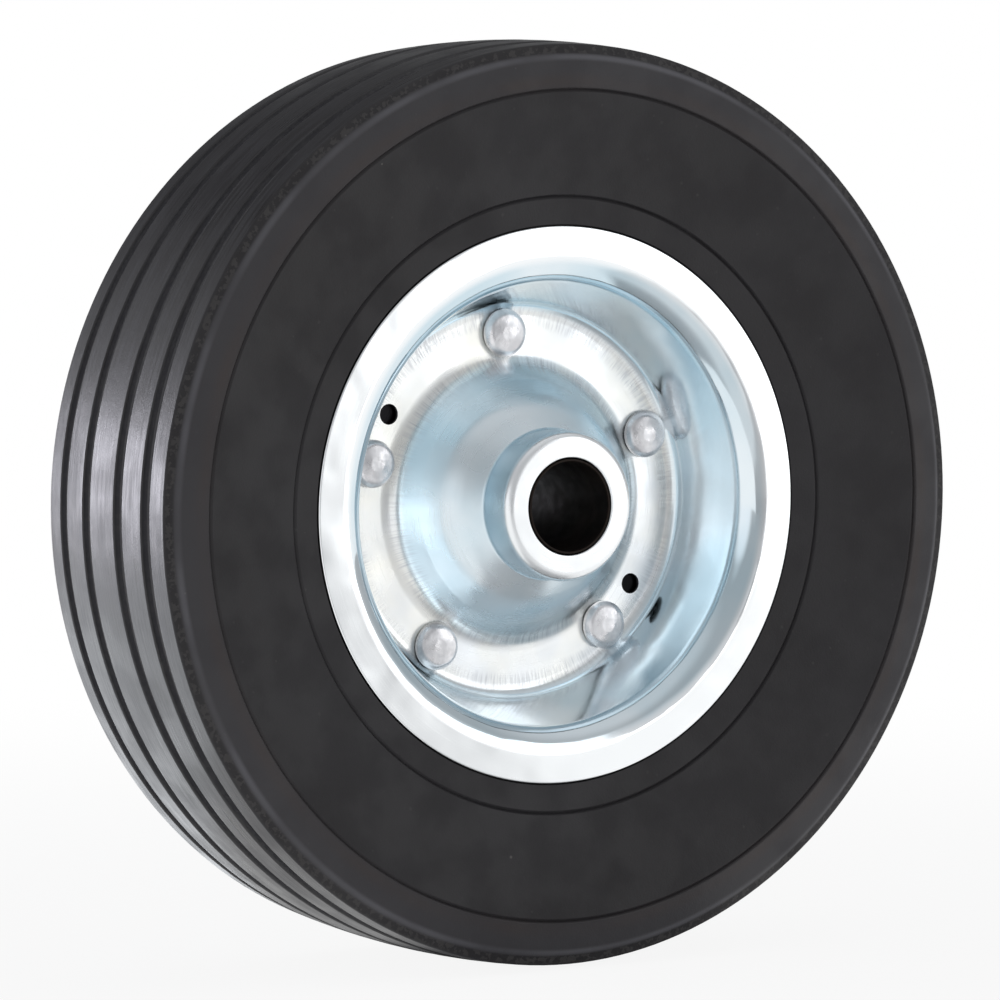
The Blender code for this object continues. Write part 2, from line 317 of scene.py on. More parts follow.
class FastenerSizes(bpy.types.PropertyGroup):
    """The set rivets and the axle sleeve."""

    count: bpy.props.IntProperty(
        name="Rivets", description="Rivets round the ring", default=len(RIVET_NODES), min=1
    )
    pitch_radius: length(
        "Rivet pitch radius", math.hypot(RIVET_CENTRE.x, RIVET_CENTRE.z), "From the axle line to each rivet"
    )
    first_angle: turn(
        "First rivet angle",
        math.atan2(RIVET_CENTRE.z, RIVET_CENTRE.x),
        "Place of the first rivet round the axle",
    )
    head_radius: length("Rivet head radius", 0.0052, "Radius of a set head")
    head_height: length("Rivet head height", 0.0030, "From the ring to the top of a head")
    head_edge: length("Rivet edge round", 0.0011, "Round at the foot of a head")
    top_flat: length("Rivet top flat", 0.0016, "Radius of the flat that the set leaves on a head")
    shank_radius: length("Shank radius", 0.0025, "Radius of a rivet's shank")
    sleeve_radius: length("Sleeve radius", SLEEVE_RADIUS, "Outer radius of the sleeve")
    sleeve_wall: length("Sleeve wall", 0.0005, "Thickness of the sleeve's wall")
    sleeve_round: length("Sleeve edge round", 0.0002, "Round on the ends of the sleeve")
    gap: length("Fit gap", 0.0003, "Clearance between neighbours")


class WheelFinish(bpy.types.PropertyGroup):
    """Colours and gloss of the wheel's four finishes."""

    rubber: colour("Rubber", (0.0085, 0.0068, 0.0085), "Moulded rubber of the sidewall")
    rubber_pale: colour("Bloomed rubber", (0.0160, 0.0145, 0.0170), "Rubber where it has bloomed a little")
    rubber_shoulder: colour("Shoulder rubber", (0.036, 0.034, 0.038), "Greyer rubber of the shoulder")
    rubber_brown: colour("Brown bloom", (0.044, 0.035, 0.034), "Brownish bloom by the shoulder's line")
    rubber_groove: colour("Groove rubber", (0.072, 0.071, 0.078), "Bloom and dust that the grooves keep")
    # Ledge rubber is a painted highlight on the slope beside the outer ribs
    rubber_ledge_highlight: colour("Ledge rubber", (0.115, 0.113, 0.126), "Bloom on the slope beside the outer ribs")
    rubber_worn: colour("Worn rubber", (0.030, 0.030, 0.034), "Rubber where the ribs have rolled")
    rubber_dust: colour("Dust", (0.20, 0.19, 0.18), "Specks of dust on the rubber")
    rubber_roughness: share("Rubber roughness", 0.58, "Roughness of the rubber")
    tread_polish: share("Tread polish", 0.22, "How much smoother the ribs are")
    zinc: colour("Zinc", (0.81, 0.88, 0.92), "Bright blue zinc plate")
    zinc_deep: colour("Deep zinc", (0.62, 0.755, 0.825), "Zinc plate where it is thinner and bluer")
    # Bright zinc is a painted highlight on the flange and the hub's end
    zinc_highlight: colour("Bright zinc", (0.93, 0.955, 0.97), "Thick plate on the flange and the hub's end")
    # Straw and dull zinc paint the rivet ring lighter, a painted highlight, in patches of a faint straw tint
    zinc_straw_highlight: colour("Straw zinc", (0.97, 0.96, 0.90), "Faint straw tint of the plate on the ring")
    zinc_dull_highlight: colour("Dull zinc", (0.89, 0.92, 0.95), "Plate dulled by the press tool on the ring")
    # Scuffed zinc is painted shade in bands at the ring's outer edge and the inner fillet, streaked like die
    # marks
    zinc_scuffs_and_shade: colour("Scuffed zinc", (0.56, 0.58, 0.61), "Marks of the drawing die beside the ring")
    # Bare inside is painted shade on the sheets' inner faces, seen through the holes
    zinc_hole_shade: colour("Bare inside", (0.012, 0.012, 0.013), "Unplated steel between the two pressings")
    zinc_roughness: share("Zinc roughness", 0.12, "Roughness of the bright plate")
    rivet: colour("Rivet", (0.90, 0.90, 0.92), "Satin plate on the set heads")
    rivet_dark: colour("Rivet mark", (0.46, 0.46, 0.48), "Marks that the set leaves on a head")
    rivet_roughness: share("Rivet roughness", 0.30, "Roughness of the heads")
    nylon: colour("Nylon", (0.0035, 0.0030, 0.0030), "Black nylon of the sleeve")
    nylon_edge: colour("Nylon edge", (0.020, 0.014, 0.011), "Brownish edge of the sleeve's ends")
    nylon_roughness: share("Nylon roughness", 0.55, "Roughness of the nylon")


class StageSettings(bpy.types.PropertyGroup):
    """The camera, the floor and the light."""

    camera_azimuth: turn("Camera azimuth", math.radians(-31.75), "Direction of the view round the Z axis")
    camera_elevation: turn("Camera elevation", math.radians(3.9), "Height of the view above the horizon")
    camera_distance: length("Camera distance", 1.2510, "From the wheel's centre along the view")
    camera_right: offset("Camera right", -0.00168, "Sideways place of the camera")
    camera_up: offset("Camera up", -0.00009, "Upward place of the camera")
    lens: bpy.props.FloatProperty(
        name="Lens", description="Focal length in mm on the camera's sensor", default=206.58, unit="CAMERA"
    )
    floor_size: length("Floor size", 60.0, "Side of the floor")
    pool_inner: length("Pool inner radius", 0.15, "Radius round the wheel where the floor keeps its shadow")
    pool_outer: length("Pool outer radius", 0.60, "Radius beyond which the floor is plain white")
    pool_white: share("Pool white", 0.90, "How much of the plain white is left in the pool")
    floor_colour: colour("Floor", (0.80, 0.80, 0.80), "Pale floor")
    room: colour("Room light", (0.97, 0.98, 1.0), "Tint of the light from the room")
    wall: share("Wall level", 0.47, "Strength of the light from the room's walls")
    ceiling: share("Ceiling level", 0.66, "Strength of the light from the room's ceiling")


PROPERTY_GROUPS = {
    "wheel_tyre": TyreSizes,
    "wheel_rim": RimSizes,
    "wheel_fasteners": FastenerSizes,
    "wheel_finish": WheelFinish,
    "wheel_stage": StageSettings,
}


def heading(start, end):
    """Return the unit direction from one outline point to the next, and its length."""
    dx = end[0] - start[0]
    dy = end[1] - start[1]
    distance = math.hypot(dx, dy)
    return dx / distance, dy / distance, distance


def rounded(corners, closed=True):
    """Return the outline through (radius, depth, fillet) corners, its fillets as arcs.

    A fillet is kept within the stretches that meet at it. A point just outside
    each arc holds the flat beside it flat when the mesh is shaded smooth.
    """
    points = []
    count = len(corners)
    for index, (x, y, fillet) in enumerate(corners):
        at_end = not closed and index in (0, count - 1)
        if at_end or fillet <= 0:
            points.append((x, y))
            continue
        before = corners[index - 1]
        after = corners[(index + 1) % count]
        ax, ay, room_before = heading(before, corners[index])
        bx, by, room_after = heading(corners[index], after)
        bend = math.atan2(ax * by - ay * bx, ax * bx + ay * by)
        half = math.tan(abs(bend) / 2)
        room_before = room_before / 2 if before[2] > 0 else room_before
        room_after = room_after / 2 if after[2] > 0 else room_after
        reach = min(fillet * half, room_before, room_after)
        radius = reach / half
        side = math.copysign(1.0, bend)
        start = (x - ax * reach, y - ay * reach)
        centre = (start[0] - side * ay * radius, start[1] + side * ax * radius)
        first = math.atan2(start[1] - centre[1], start[0] - centre[0])
        steps = max(2, round(abs(bend) / ARC_STEP))
        if room_before > reach + HOLD:
            points.append((start[0] - ax * HOLD, start[1] - ay * HOLD))
        for step in range(steps + 1):
            angle = first + bend * step / steps
            points.append((centre[0] + radius * math.cos(angle), centre[1] + radius * math.sin(angle)))
        if room_after > reach + HOLD:
            end = (x + bx * reach, y + by * reach)
            points.append((end[0] + bx * HOLD, end[1] + by * HOLD))
    apart = [points[0]]
    for point in points[1:]:
        if math.dist(point, apart[-1]) > MERGE:
            apart.append(point)
    return apart


def beside(corners, distance):
    """Return the corners moved to a parallel outline, distance to the right of travel."""
    moved = []
    last = len(corners) - 1
    for index, (x, y, fillet) in enumerate(corners):
        ax, ay, _ = heading(corners[max(index, 1) - 1], corners[max(index, 1)])
        bx, by, _ = heading(corners[min(index, last - 1)], corners[min(index, last - 1) + 1])
        across = (ay + by, -ax - bx)
        scale = distance / (across[0] * ay - across[1] * ax)
        side = math.copysign(1.0, ax * by - ay * bx)
        moved.append((x + across[0] * scale, y + across[1] * scale, max(0.0, fillet + side * distance)))
    return moved


def mirrored(corners):
    """Return the corners of the other half of a section, in the order that goes on round it."""
    return [(x, -y, fillet) for x, y, fillet in reversed(corners)]


class NodeBench:
    """Adds nodes to a tree, sets their inputs and links them."""

    def __init__(self, tree):
        self.tree = tree

    def feed(self, socket, value):
        """Link a socket to another one, or give it a value."""
        if isinstance(value, bpy.types.NodeSocket):
            self.tree.links.new(value, socket)
        else:
            socket.default_value = value

    def add(self, kind, inputs=None, **settings):
        """Return a new node with its settings and inputs."""
        made = self.tree.nodes.new(kind)
        for name, value in settings.items():
            setattr(made, name, value)
        for key, value in (inputs or {}).items():
            self.feed(made.inputs[key], value)
        return made

    def calc(self, operation, first, second=0.0, clamp=False):
        """Return the result of one arithmetic step."""
        made = self.add("ShaderNodeMath", {0: first, 1: second}, operation=operation, use_clamp=clamp)
        return made.outputs[0]

    def times(self, first, second):
        """Return a product."""
        return self.calc("MULTIPLY", first, second)

    def plus(self, first, second):
        """Return a total."""
        return self.calc("ADD", first, second)

    def minus(self, first, second, clamp=False):
        """Return a difference."""
        return self.calc("SUBTRACT", first, second, clamp)

    def larger(self, first, second):
        """Return the larger of two values."""
        return self.calc("MAXIMUM", first, second)

    def vector(self, operation, inputs):
        """Return the outputs of one step of vector arithmetic."""
        return self.add("ShaderNodeVectorMath", inputs, operation=operation).outputs

    def ramp(self, value, low, high, start=0.0, end=1.0, smooth=True):
        """Return a value carried from the range low to high over to start to end."""
        inputs = {"Value": value, "From Min": low, "From Max": high, "To Min": start, "To Max": end}
        kind = "SMOOTHSTEP" if smooth else "LINEAR"
        return self.add("ShaderNodeMapRange", inputs, interpolation_type=kind).outputs["Result"]

    def mix(self, factor, first, second):
        """Return a colour between two colours, each a socket or (red, green, blue)."""
        ends = [end if isinstance(end, bpy.types.NodeSocket) else rgba(end) for end in (first, second)]
        made = self.add("ShaderNodeMix", {0: factor, 6: ends[0], 7: ends[1]}, data_type="RGBA")
        return made.outputs[2]

    def place(self):
        """Return the shaded point, in the coordinates of its piece."""
        return self.add("ShaderNodeTexCoord").outputs["Object"]

    def noise(self, inputs, **settings):
        """Return a noise value."""
        return self.add("ShaderNodeTexNoise", inputs, **settings).outputs["Fac"]

    def group(self, name, *values):
        """Return the outputs of a placed shader group, its inputs set in their order."""
        made = self.add("ShaderNodeGroup", node_tree=bpy.data.node_groups[name])
        for socket, value in zip(made.inputs, values):
            self.feed(socket, value)
        return made.outputs

    def pattern(self, name, low=None, high=None):
        """Return a pattern of the PATTERNS table, from low to high where these are given."""
        kind = next(kind for kind, patterns in PATTERNS.items() if name in patterns)
        value = self.group(kind, *PATTERNS[kind][name])[0]
        return value if low is None else self.ramp(value, 0.0, 1.0, low, high)

    def zone(self, inner, outer, fade):
        """Return a mask of the ring between two radii."""
        return self.group("ring_zone", inner, outer, fade)["Mask"]


def rgba(colour_values):
    """Return a colour with full alpha."""
    return (*colour_values, 1.0)


def new_group(name, kind, inputs, outputs):
    """Return the bench, inputs and outputs of a new node group, from the names and types of its sockets."""
    old = bpy.data.node_groups.get(name)
    if old:
        bpy.data.node_groups.remove(old)
    tree = bpy.data.node_groups.new(name, kind)
    for in_out, sockets in (("INPUT", inputs), ("OUTPUT", outputs)):
        for label, value_type in sockets.items():
            tree.interface.new_socket(label, in_out=in_out, socket_type="NodeSocket" + value_type)
    bench = NodeBench(tree)
    return bench, bench.add("NodeGroupInput").outputs, bench.add("NodeGroupOutput").inputs


def end_tree(bench, given, result, geometry):
    """End a geometry tree: its instances made real and its piece in the finish it is given."""
    real = bench.add("GeometryNodeRealizeInstances", {"Geometry": geometry}).outputs["Geometry"]
    finish = bench.add("GeometryNodeSetMaterial", {"Geometry": real, "Material": given["Finish"]})
    bench.feed(result["Piece"], finish.outputs["Geometry"])
    return bench.tree


def swept_section_tree():
    """Build the tree that sweeps a closed section once round the axle."""
    inputs = {"Section": "Geometry", "Steps": "Int", "Path Radius": "Float", "Finish": "Material"}
    bench, given, result = new_group("swept_section", "GeometryNodeTree", inputs, {"Piece": "Geometry"})
    section = bench.add("GeometryNodeMeshToCurve", {"Mesh": given["Section"]}).outputs["Curve"]
    circle = {"Resolution": given["Steps"], "Radius": given["Path Radius"]}
    path = bench.add("GeometryNodeCurvePrimitiveCircle", circle).outputs["Curve"]
    upright = bench.add("GeometryNodeSetCurveNormal", {"Curve": path}, mode="Z_UP").outputs["Curve"]
    body = bench.add("GeometryNodeCurveToMesh", {"Curve": upright, "Profile Curve": section})
    return end_tree(bench, given, result, body.outputs["Mesh"])


def rivet_ring_tree():
    """Build the tree that sets one rivet round a pitch circle, each turned by chance about its shank."""
    inputs = {
        "Rivet": "Geometry",
        "Count": "Int",
        "Pitch Radius": "Float",
        "First Angle": "Float",
        "Seed": "Int",
        "Finish": "Material",
    }
    bench, given, result = new_group("rivet_ring", "GeometryNodeTree", inputs, {"Piece": "Geometry"})
    ring = {"Vertices": given["Count"], "Radius": given["Pitch Radius"]}
    circle = bench.add("GeometryNodeMeshCircle", ring).outputs["Mesh"]
    start = bench.add("ShaderNodeCombineXYZ", {"Z": given["First Angle"]}).outputs["Vector"]
    placed = bench.add("GeometryNodeTransform", {"Geometry": circle, "Rotation": start})
    turns = {"Min": (0.0, 0.0, 0.0), "Max": (0.0, 0.0, 2 * math.pi), "Seed": given["Seed"]}
    chance = bench.add("FunctionNodeRandomValue", turns, data_type="FLOAT_VECTOR").outputs[0]
    points = {"Points": placed.outputs["Geometry"], "Instance": given["Rivet"], "Rotation": chance}
    rivets = bench.add("GeometryNodeInstanceOnPoints", points).outputs["Instances"]
    return end_tree(bench, given, result, rivets)


def new_object(name, mesh):
    """Return a new object in the scene that shows a mesh, in the place of one left by an earlier run."""
    old = bpy.data.objects.get(name)
    if old:
        bpy.data.objects.remove(old, do_unlink=True)
    obj = bpy.data.objects.new(name, mesh)
    bpy.context.scene.collection.objects.link(obj)
    return obj


def applied(obj):
    """Return an object's mesh with its modifiers applied, and take the object away."""
    graph = bpy.context.evaluated_depsgraph_get()
    made = bpy.data.meshes.new_from_object(obj.evaluated_get(graph))
    bpy.data.objects.remove(obj, do_unlink=True)
    return made


def closed_mesh(mesh):
    """Return a mesh with its doubles merged and its faces pointing out."""
    shape = bmesh.new()
    shape.from_mesh(mesh)
    bmesh.ops.remove_doubles(shape, verts=shape.verts, dist=MERGE)
    bmesh.ops.recalc_face_normals(shape, faces=shape.faces)
    shape.to_mesh(mesh)
    shape.free()
    return mesh


def run_tree(name, mesh, tree, values):
    """Return the plain mesh that a geometry tree makes of a mesh, with values for its named inputs."""
    obj = new_object(name, mesh)
    modifier = obj.modifiers.new("tree", "NODES")
    modifier.node_group = tree
    for item in tree.interface.items_tree:
        if item.in_out == "INPUT" and item.name in values:
            modifier[item.identifier] = values[item.name]
    return applied(obj)


def line_mesh(name, points, closed):
    """Return a mesh of edges through points in their order."""
    mesh = bpy.data.meshes.new(name)
    count = len(points)
    edges = [(index, (index + 1) % count) for index in range(count if closed else count - 1)]
    mesh.from_pydata(points, edges, [])
    return mesh


def swept(name, section, steps, finish):
    """Return a closed mesh of a section swept round the axle line, which is the mesh's own Z axis.

    The path holds the section with its depth turned over, so it is handed in that way.
    """
    radii = [x for x, _ in section]
    path_radius = (min(radii) + max(radii)) / 2
    wire = line_mesh(name, [(x - path_radius, -y, 0.0) for x, y in section], closed=True)
    values = {"Steps": steps, "Path Radius": path_radius, "Finish": finish}
    return closed_mesh(run_tree(name, wire, swept_section_tree(), values))


def turned(name, outline, steps):
    """Return a closed mesh of an outline, from the axis back to it, turned about the mesh's own Z axis."""
    obj = new_object(name, line_mesh(name, [(x, 0.0, y) for x, y in outline], closed=False))
    screw = obj.modifiers.new("turn", "SCREW")
    screw.axis = "Z"
    screw.steps = steps
    screw.render_steps = steps
    screw.use_merge_vertices = True
    screw.merge_threshold = MERGE
    return closed_mesh(applied(obj))


def finished(name, mesh, finish, slot, *nodes):
    """Lay a mesh's axis along the wheel's, shade it and let it stand for packed nodes."""
    mesh.transform(Matrix.Rotation(math.pi / 2, 4, "X"))
    mesh.materials.clear()
    mesh.materials.append(finish)
    mesh.name = name
    mesh.shade_smooth()
    mesh.set_sharp_from_angle(angle=SHARP_ANGLE)
    obj = new_object(name, mesh)
    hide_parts(*nodes)
    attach(obj, BODY)


def crown(tyre, depth):
    """Return the radius of the tread's crowned surface at a depth from the middle plane."""
    return tyre.radius - depth * depth / (2 * tyre.crown_radius)


def rib_top(tyre, outer, inner):
    """Return points along the crown of a rib, between its two edges."""
    depths = [outer + (inner - outer) * step / RIB_PIECES for step in range(1, RIB_PIECES)]
    return [(crown(tyre, depth), depth, 0.0) for depth in depths]


def groove(tyre, place, width):
    """Return a tread groove's corners, from its outer edge to its inner one."""
    floor = crown(tyre, place) - tyre.groove_depth
    outer = place + width / 2
    inner = place - width / 2
    return [
        (crown(tyre, outer), outer, tyre.rib_round),
        (floor, outer - tyre.groove_draft, tyre.groove_round),
        (floor, inner + tyre.groove_draft, tyre.groove_round),
        (crown(tyre, inner), inner, tyre.rib_round),
    ]


def mould_line(tyre, start, end, place):
    """Return the corners of a fine V groove across the stretch from start to end."""
    ux, uy, _ = heading(start, end)
    x, y = place
    half = tyre.mould_line_width / 2
    lip = half / 2
    return [
        (x - ux * half, y - uy * half, lip),
        (x + uy * tyre.mould_line_depth, y - ux * tyre.mould_line_depth, 0.0),
        (x + ux * half, y + uy * half, lip),
    ]


def ring_edges(rim, fasteners):
    """Return the inner and outer radius of the flat ring that the rivets sit on."""
    half = fasteners.head_radius + rim.seat_margin
    return fasteners.pitch_radius - half, fasteners.pitch_radius + half


def rim_corners(rim, fasteners):
    """Return the corners of a pressing's front skin, from the neck's hole out to the flange."""
    ring_inner, ring_outer = ring_edges(rim, fasteners)
    ring_face = fasteners.gap / 2 + rim.sheet
    crease = (ring_inner - rim.flank_run, ring_face + rim.flank_rise)
    neck_base = (rim.neck_radius, rim.hub_face - rim.neck_length)
    ux, uy, _ = heading(neck_base, crease)
    dome = ((crease[0] + neck_base[0]) / 2, (crease[1] + neck_base[1]) / 2)
    return [
        (fasteners.sleeve_radius + fasteners.gap, rim.hub_face, rim.edge_round),
        (rim.neck_radius, rim.hub_face, rim.end_round),
        (*neck_base, rim.base_fillet),
        (dome[0] - uy * rim.dome_bulge, dome[1] + ux * rim.dome_bulge, rim.dome_radius),
        (*crease, rim.crease_round),
        (ring_inner, ring_face, rim.inner_fillet),
        (ring_outer, ring_face, rim.outer_fillet),
        (rim.radius - rim.flange_width, rim.width / 2, rim.roll_radius),
        (rim.radius, rim.width / 2, rim.edge_round),
    ]


def rim_section(rim, fasteners):
    """Return the closed section of a pressing: its front skin, and its back one sheet behind."""
    front = rim_corners(rim, fasteners)
    back = beside(front, rim.sheet)
    back[0] = (*back[0][:2], rim.edge_round)
    back[-1] = (*back[-1][:2], rim.edge_round)
    return rounded(front + back[::-1])


def tyre_section(tyre, rim, fasteners):
    """Return the tyre's closed section, both halves."""
    seat = beside(rim_corners(rim, fasteners)[-3:], rim.sheet + fasteners.gap)
    seat_foot, seat_roll, seat_edge = seat
    ux, uy, _ = heading(seat_foot, seat_roll)
    foot_y = tyre.seat_flat / 2
    foot_x = seat_foot[0] + ux / uy * (foot_y - seat_foot[1])
    bead_x = rim.radius + fasteners.gap
    bead_y = rim.width / 2 - tyre.set_back
    band = (rim.radius + tyre.band_width, bead_y + tyre.band_rise)
    shoulder = (tyre.radius - tyre.shoulder_drop, tyre.width / 2)
    edge = tyre.tread_width / 2
    foot = (crown(tyre, edge) - tyre.step_depth, edge + tyre.step_draft)
    corner = (foot[0] - tyre.slope_fall, foot[1] + tyre.slope_run)
    outer = tyre.outer_groove
    inner = tyre.inner_groove
    half_outer = tyre.outer_groove_width / 2
    half_inner = tyre.inner_groove_width / 2
    half = [
        (foot_x, foot_y, 0.0),
        seat_roll,
        (bead_x, seat_edge[1], 0.0),
        (bead_x, bead_y, tyre.set_back),
        *mould_line(tyre, band, shoulder, band),
        *mould_line(tyre, band, shoulder, shoulder),
        (*corner, tyre.shoulder_round),
        (*foot, tyre.groove_round),
        (crown(tyre, edge), edge, tyre.rib_round),
        *rib_top(tyre, edge, outer + half_outer),
        *groove(tyre, outer, tyre.outer_groove_width),
        *rib_top(tyre, outer - half_outer, inner + half_inner),
        *groove(tyre, inner, tyre.inner_groove_width),
        *rib_top(tyre, inner - half_inner, 0.0),
        (tyre.radius, 0.0, 0.0),
    ]
    return rounded(half + mirrored(half)[1:])


def rivet_outline(rim, fasteners):
    """Return a set rivet's outline, from the top of its front head to the top of its rear one."""
    under = fasteners.gap / 2 + rim.sheet + fasteners.gap
    top = fasteners.gap / 2 + rim.sheet + fasteners.head_height
    waist = under + fasteners.head_edge
    reach, rise = HEAD_FLANK
    flank = (fasteners.head_radius * reach, (top + waist) / 2 + fasteners.head_edge * rise)
    half = [
        (0.0, top, 0.0),
        (fasteners.top_flat, top, fasteners.top_flat),
        (*flank, fasteners.top_flat),
        (fasteners.head_radius, waist, fasteners.head_edge),
        (fasteners.head_radius, under, fasteners.head_edge),
        (fasteners.shank_radius, under, 0.0),
    ]
    return rounded(half + mirrored(half), closed=False)


def sleeve_section(rim, fasteners):
    """Return the closed section of the sleeve."""
    bore = fasteners.sleeve_radius - fasteners.sleeve_wall
    edge = fasteners.sleeve_round
    half = [
        (bore, rim.hub_face, edge),
        (fasteners.sleeve_radius, rim.hub_face, edge),
    ]
    return rounded(half + mirrored(half))


def punch(mesh, rim, fasteners, side):
    """Return the mesh of a pressing with its rivet holes and its two plain holes cut through.

    The rear pressing is the front one turned over about its first rivet, so its
    plain holes lie on the other side of that rivet.
    """
    cutter_mesh = bpy.data.meshes.new("punches")
    shape = bmesh.new()
    step = 2 * math.pi / fasteners.count
    rivet_hole = fasteners.shank_radius + fasteners.gap
    holes = [(fasteners.first_angle - index * step, rivet_hole) for index in range(fasteners.count)]
    plain = fasteners.first_angle + side * (rim.hole_angle - fasteners.first_angle)
    holes += [(plain + 2 * math.pi * index / PLAIN_HOLES, rim.hole_radius) for index in range(PLAIN_HOLES)]
    for angle, radius in holes:
        place = Matrix.Rotation(angle, 4, "Z") @ Matrix.Translation((fasteners.pitch_radius, 0.0, 0.0))
        bmesh.ops.create_cone(
            shape,
            cap_ends=True,
            segments=HOLE_STEPS,
            radius1=radius,
            radius2=radius,
            depth=PUNCH_SHEETS * rim.sheet,
            matrix=place,
        )
    shape.to_mesh(cutter_mesh)
    shape.free()
    cutter = new_object("punches", cutter_mesh)
    blank = new_object("blank", mesh)
    cut = blank.modifiers.new("holes", "BOOLEAN")
    cut.operation = "DIFFERENCE"
    cut.solver = "EXACT"
    cut.object = cutter
    made = applied(blank)
    bpy.data.objects.remove(cutter, do_unlink=True)
    return made


def value_group(name, output, *inputs):
    """Return the bench and the inputs of a new shader group of plain numbers, and its one output."""
    sockets = dict.fromkeys(inputs, "Float")
    bench, given, result = new_group(name, "ShaderNodeTree", sockets, {output: "Float"})
    return bench, given, result[output]


def round_the_axle_group():
    """Build the group that gives each point its radius, its depth and its direction round the axle."""
    outputs = {"Radius": "Float", "Depth": "Float", "Around": "Vector"}
    bench, _, result = new_group("round_the_axle", "ShaderNodeTree", {}, outputs)
    parts = bench.add("ShaderNodeSeparateXYZ", {"Vector": bench.place()}).outputs
    flat = bench.add("ShaderNodeCombineXYZ", {"X": parts["X"], "Y": parts["Z"]}).outputs["Vector"]
    bench.feed(result["Radius"], bench.vector("LENGTH", {0: flat})["Value"])
    bench.feed(result["Depth"], bench.calc("ABSOLUTE", parts["Y"]))
    bench.feed(result["Around"], bench.vector("NORMALIZE", {0: flat})["Vector"])


def ring_zone_group():
    """Build the group that masks the stretch between two radii."""
    bench, given, mask = value_group("ring_zone", "Mask", "Inner", "Outer", "Fade")
    radius = bench.group("round_the_axle")["Radius"]
    inner, outer, fade = given["Inner"], given["Outer"], given["Fade"]
    rises = bench.ramp(radius, bench.minus(inner, fade), bench.plus(inner, fade))
    falls = bench.ramp(radius, bench.plus(outer, fade), bench.minus(outer, fade))
    bench.feed(mask, bench.times(rises, falls))


def clouding_group():
    """Build the group that gives soft patches of a given size."""
    bench, given, patches = value_group("clouding", "Cloud", "Patch Size", "Detail", "Seed")
    scale = bench.calc("DIVIDE", 1.0, given["Patch Size"])
    inputs = {"Vector": bench.place(), "W": given["Seed"], "Scale": scale, "Detail": given["Detail"]}
    bench.feed(patches, bench.ramp(bench.noise(inputs, noise_dimensions="4D"), *NOISE_RANGE))


def fine_grain_group():
    """Build the group that gives a fine grain of a given size."""
    bench, given, height = value_group("fine_grain", "Height", "Grain Size")
    scale = bench.calc("DIVIDE", 1.0, given["Grain Size"])
    bench.feed(height, bench.noise({"Vector": bench.place(), "Scale": scale, "Detail": FINE_DETAIL}))


def dust_specks_group():
    """Build the group that scatters small specks, each in a cell of its own."""
    bench, given, mask = value_group("dust_specks", "Mask", "Cell Size", "Speck Share", "Filled Share")
    scale = bench.calc("DIVIDE", 1.0, given["Cell Size"])
    cells = bench.add("ShaderNodeTexVoronoi", {"Vector": bench.place(), "Scale": scale}).outputs
    chance = bench.add("ShaderNodeSeparateColor", {"Color": cells["Color"]}).outputs
    size = bench.times(chance["Green"], given["Speck Share"])
    there = bench.calc("LESS_THAN", chance["Red"], given["Filled Share"])
    bench.feed(mask, bench.times(bench.ramp(cells["Distance"], size, 0.0), there))


def fine_lines_group():
    """Build the group of fine lines on the turned surfaces.

    Round is how many features lie along one radius of arc, and Across is how
    many lie in one metre across the section.
    """
    bench, given, height = value_group("fine_lines", "Height", "Round", "Across")
    axle = bench.group("round_the_axle")
    around = bench.vector("SCALE", {0: axle["Around"], "Scale": given["Round"]})["Vector"]
    section = bench.plus(axle["Radius"], bench.times(axle["Depth"], DEPTH_WEIGHT))
    across = bench.times(section, given["Across"])
    lifted = bench.add("ShaderNodeCombineXYZ", {"Z": across}).outputs["Vector"]
    place = bench.vector("ADD", {0: around, 1: lifted})["Vector"]
    bench.feed(height, bench.noise({"Vector": place, "Scale": 1.0, "Detail": FINE_DETAIL}))


def build_shader_groups():
    """Build the effects that the finishes share, unless an earlier operator has."""
    if "round_the_axle" in bpy.data.node_groups:
        return
    round_the_axle_group()
    ring_zone_group()
    clouding_group()
    fine_grain_group()
    dust_specks_group()
    fine_lines_group()


def new_finish(name, levels=None):
    """Return a new material, a bench for its nodes, and its shader with its constant levels set."""
    old = bpy.data.materials.get(name)
    if old:
        bpy.data.materials.remove(old)
    made = bpy.data.materials.new(name)
    made.use_nodes = True
    shader = made.node_tree.nodes["Principled BSDF"]
    for label, level in (levels or {}).items():
        shader.inputs[label].default_value = level
    return made, NodeBench(made.node_tree), shader


def layered(bench, base, *layers):
    """Return a base colour under layers, each a mask and a colour."""
    for mask, tint in layers:
        base = bench.mix(mask, base, tint)
    return base


def patchy_gloss(bench, name, level):
    """Return a finish's roughness, which wanders about its level in soft patches."""
    below, above = ROUGHNESS_SPREAD[name]
    return bench.pattern(name + "_gloss", level - below, level + above)


def dress(bench, shader, base, rough, height, relief):
    """Feed a shader its colour, its roughness and a bump of the given relief."""
    bump = bench.add("ShaderNodeBump", {"Height": height, "Strength": 1.0, "Distance": relief})
    bench.feed(shader.inputs["Base Color"], base)
    bench.feed(shader.inputs["Roughness"], rough)
    bench.feed(shader.inputs["Normal"], bump.outputs["Normal"])


def groove_mask(bench, depth, place, width):
    """Return a mask of a tread groove's floor and walls."""
    aside = bench.calc("ABSOLUTE", bench.minus(depth, place))
    return bench.ramp(aside, width / 2, width / 2 - FINE_FADE)


